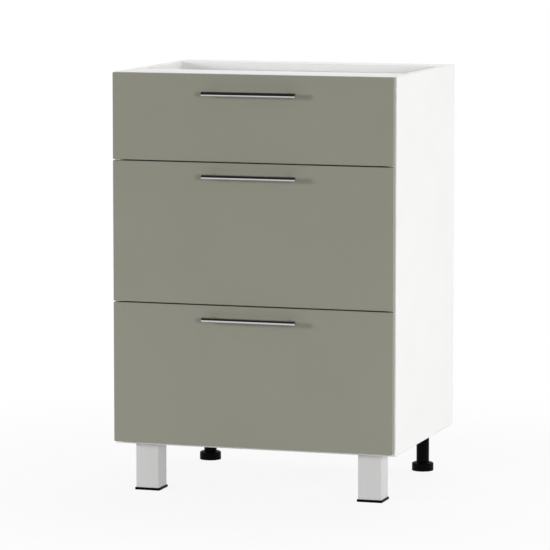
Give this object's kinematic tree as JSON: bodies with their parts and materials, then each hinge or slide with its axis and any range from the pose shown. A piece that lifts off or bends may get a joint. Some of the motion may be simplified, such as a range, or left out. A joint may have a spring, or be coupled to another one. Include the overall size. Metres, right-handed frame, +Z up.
{
  "type": "base cabinet with drawers",
  "caption": "White kitchen base cabinet with stacked grey-beige drawer fronts, chrome bar handles, square front legs and round rear legs, open at the top for a worktop.",
  "frame": {"origin": "on the floor, at the middle of the floor area that the closed cabinet takes up with its handles", "axes": "+Z up, +Y from the drawer fronts towards the wall, +X to the right as seen from the front"},
  "size_m": [0.6, 0.497, 0.868],
  "materials": {
    "white_board": "melamine-faced chipboard, satin white",
    "white_hardboard": "white lacquered hardboard",
    "front_film": "smooth matt film on fibreboard, grey-beige",
    "chrome": "polished chrome plate",
    "silver_leg": "satin silver lacquer",
    "black_plastic": "moulded black polypropylene",
    "white_epoxy_steel": "white epoxy-coated sheet steel",
    "nylon": "moulded nylon, off-white",
    "plated_steel": "zinc-plated steel",
    "die_cast_zinc": "bare die-cast zinc alloy",
    "beech": "fluted beech, unfinished"
  },
  "bodies": {
    "carcass": {"side_panel_left": "white_board", "side_panel_right": "white_board", "bottom_panel": "white_board", "top_rail_front": "white_board", "top_rail_back": "white_board", "back_panel": "white_hardboard", "back_panel_nails": "plated_steel", "cam_locks": "die_cast_zinc", "cam_bolts": "plated_steel", "dowels": "beech", "runner_rail_left_top": "white_epoxy_steel", "runner_rail_right_top": "white_epoxy_steel", "runner_rail_left_middle": "white_epoxy_steel", "runner_rail_right_middle": "white_epoxy_steel", "runner_rail_left_bottom": "white_epoxy_steel", "runner_rail_right_bottom": "white_epoxy_steel", "runner_screws": "plated_steel", "roller_pins": "plated_steel", "front_leg_left": "silver_leg", "front_leg_right": "silver_leg", "front_leg_mounts": "die_cast_zinc", "rear_leg_socket_left": "black_plastic", "rear_leg_shaft_left": "black_plastic", "rear_leg_socket_right": "black_plastic", "rear_leg_shaft_right": "black_plastic", "leg_screws": "plated_steel"},
    "front_foot_left": {"front_foot_left": "black_plastic"},
    "rear_foot_left": {"rear_foot_left": "black_plastic"},
    "front_foot_right": {"front_foot_right": "black_plastic"},
    "rear_foot_right": {"rear_foot_right": "black_plastic"},
    "drawer_top": {"drawer_front_top": "front_film", "drawer_side_left_top": "white_epoxy_steel", "drawer_side_right_top": "white_epoxy_steel", "drawer_bottom_top": "white_board", "drawer_back_top": "white_board", "drawer_fasteners_top": "plated_steel", "handle_bar_top": "chrome", "handle_posts_top": "chrome"},
    "front_rollers_top": {"front_rollers_top": "nylon"},
    "rear_rollers_top": {"rear_rollers_top": "nylon"},
    "drawer_middle": {"drawer_front_middle": "front_film", "drawer_side_left_middle": "white_epoxy_steel", "drawer_side_right_middle": "white_epoxy_steel", "drawer_bottom_middle": "white_board", "drawer_back_middle": "white_board", "drawer_fasteners_middle": "plated_steel", "handle_bar_middle": "chrome", "handle_posts_middle": "chrome"},
    "front_rollers_middle": {"front_rollers_middle": "nylon"},
    "rear_rollers_middle": {"rear_rollers_middle": "nylon"},
    "drawer_bottom": {"drawer_front_bottom": "front_film", "drawer_side_left_bottom": "white_epoxy_steel", "drawer_side_right_bottom": "white_epoxy_steel", "drawer_bottom_bottom": "white_board", "drawer_back_bottom": "white_board", "drawer_fasteners_bottom": "plated_steel", "handle_bar_bottom": "chrome", "handle_posts_bottom": "chrome"},
    "front_rollers_bottom": {"front_rollers_bottom": "nylon"},
    "rear_rollers_bottom": {"rear_rollers_bottom": "nylon"}
  },
  "joints": [
    {"name": "drawer_top_slide", "type": "slide", "parent": "carcass", "child": "drawer_top", "axis": [0, -1, 0], "range_m": [0, 0.3]},
    {"name": "drawer_middle_slide", "type": "slide", "parent": "carcass", "child": "drawer_middle", "axis": [0, -1, 0], "range_m": [0, 0.3]},
    {"name": "drawer_bottom_slide", "type": "slide", "parent": "carcass", "child": "drawer_bottom", "axis": [0, -1, 0], "range_m": [0, 0.3]},
    {"name": "front_rollers_top_turn", "type": "hinge", "parent": "carcass", "child": "front_rollers_top", "pos_m": [0, -0.1915, 0.732], "axis": [1, 0, 0], "range_deg": [0, 1810]},
    {"name": "rear_rollers_top_turn", "type": "hinge", "parent": "drawer_top", "child": "rear_rollers_top", "pos_m": [0, 0.1805, 0.7285], "axis": [1, 0, 0], "range_deg": [0, 1810]},
    {"name": "front_rollers_middle_turn", "type": "hinge", "parent": "carcass", "child": "front_rollers_middle", "pos_m": [0, -0.1915, 0.44], "axis": [1, 0, 0], "range_deg": [0, 1810]},
    {"name": "rear_rollers_middle_turn", "type": "hinge", "parent": "drawer_middle", "child": "rear_rollers_middle", "pos_m": [0, 0.1805, 0.4365], "axis": [1, 0, 0], "range_deg": [0, 1810]},
    {"name": "front_rollers_bottom_turn", "type": "hinge", "parent": "carcass", "child": "front_rollers_bottom", "pos_m": [0, -0.1915, 0.148], "axis": [1, 0, 0], "range_deg": [0, 1810]},
    {"name": "rear_rollers_bottom_turn", "type": "hinge", "parent": "drawer_bottom", "child": "rear_rollers_bottom", "pos_m": [0, 0.1805, 0.1445], "axis": [1, 0, 0], "range_deg": [0, 1810]},
    {"name": "front_foot_left_extend", "type": "slide", "parent": "carcass", "child": "front_foot_left", "axis": [0, 0, -1], "range_m": [0, 0.015]},
    {"name": "rear_foot_left_extend", "type": "slide", "parent": "carcass", "child": "rear_foot_left", "axis": [0, 0, -1], "range_m": [0, 0.015]},
    {"name": "front_foot_right_extend", "type": "slide", "parent": "carcass", "child": "front_foot_right", "axis": [0, 0, -1], "range_m": [0, 0.015]},
    {"name": "rear_foot_right_extend", "type": "slide", "parent": "carcass", "child": "rear_foot_right", "axis": [0, 0, -1], "range_m": [0, 0.015]}
  ],
  "couplings": [
    {"joint": "front_rollers_top_turn", "follows": "drawer_top_slide", "rad_per_m": 105.26},
    {"joint": "rear_rollers_top_turn", "follows": "drawer_top_slide", "rad_per_m": 105.26},
    {"joint": "front_rollers_middle_turn", "follows": "drawer_middle_slide", "rad_per_m": 105.26},
    {"joint": "rear_rollers_middle_turn", "follows": "drawer_middle_slide", "rad_per_m": 105.26},
    {"joint": "front_rollers_bottom_turn", "follows": "drawer_bottom_slide", "rad_per_m": 105.26},
    {"joint": "rear_rollers_bottom_turn", "follows": "drawer_bottom_slide", "rad_per_m": 105.26}
  ]
}
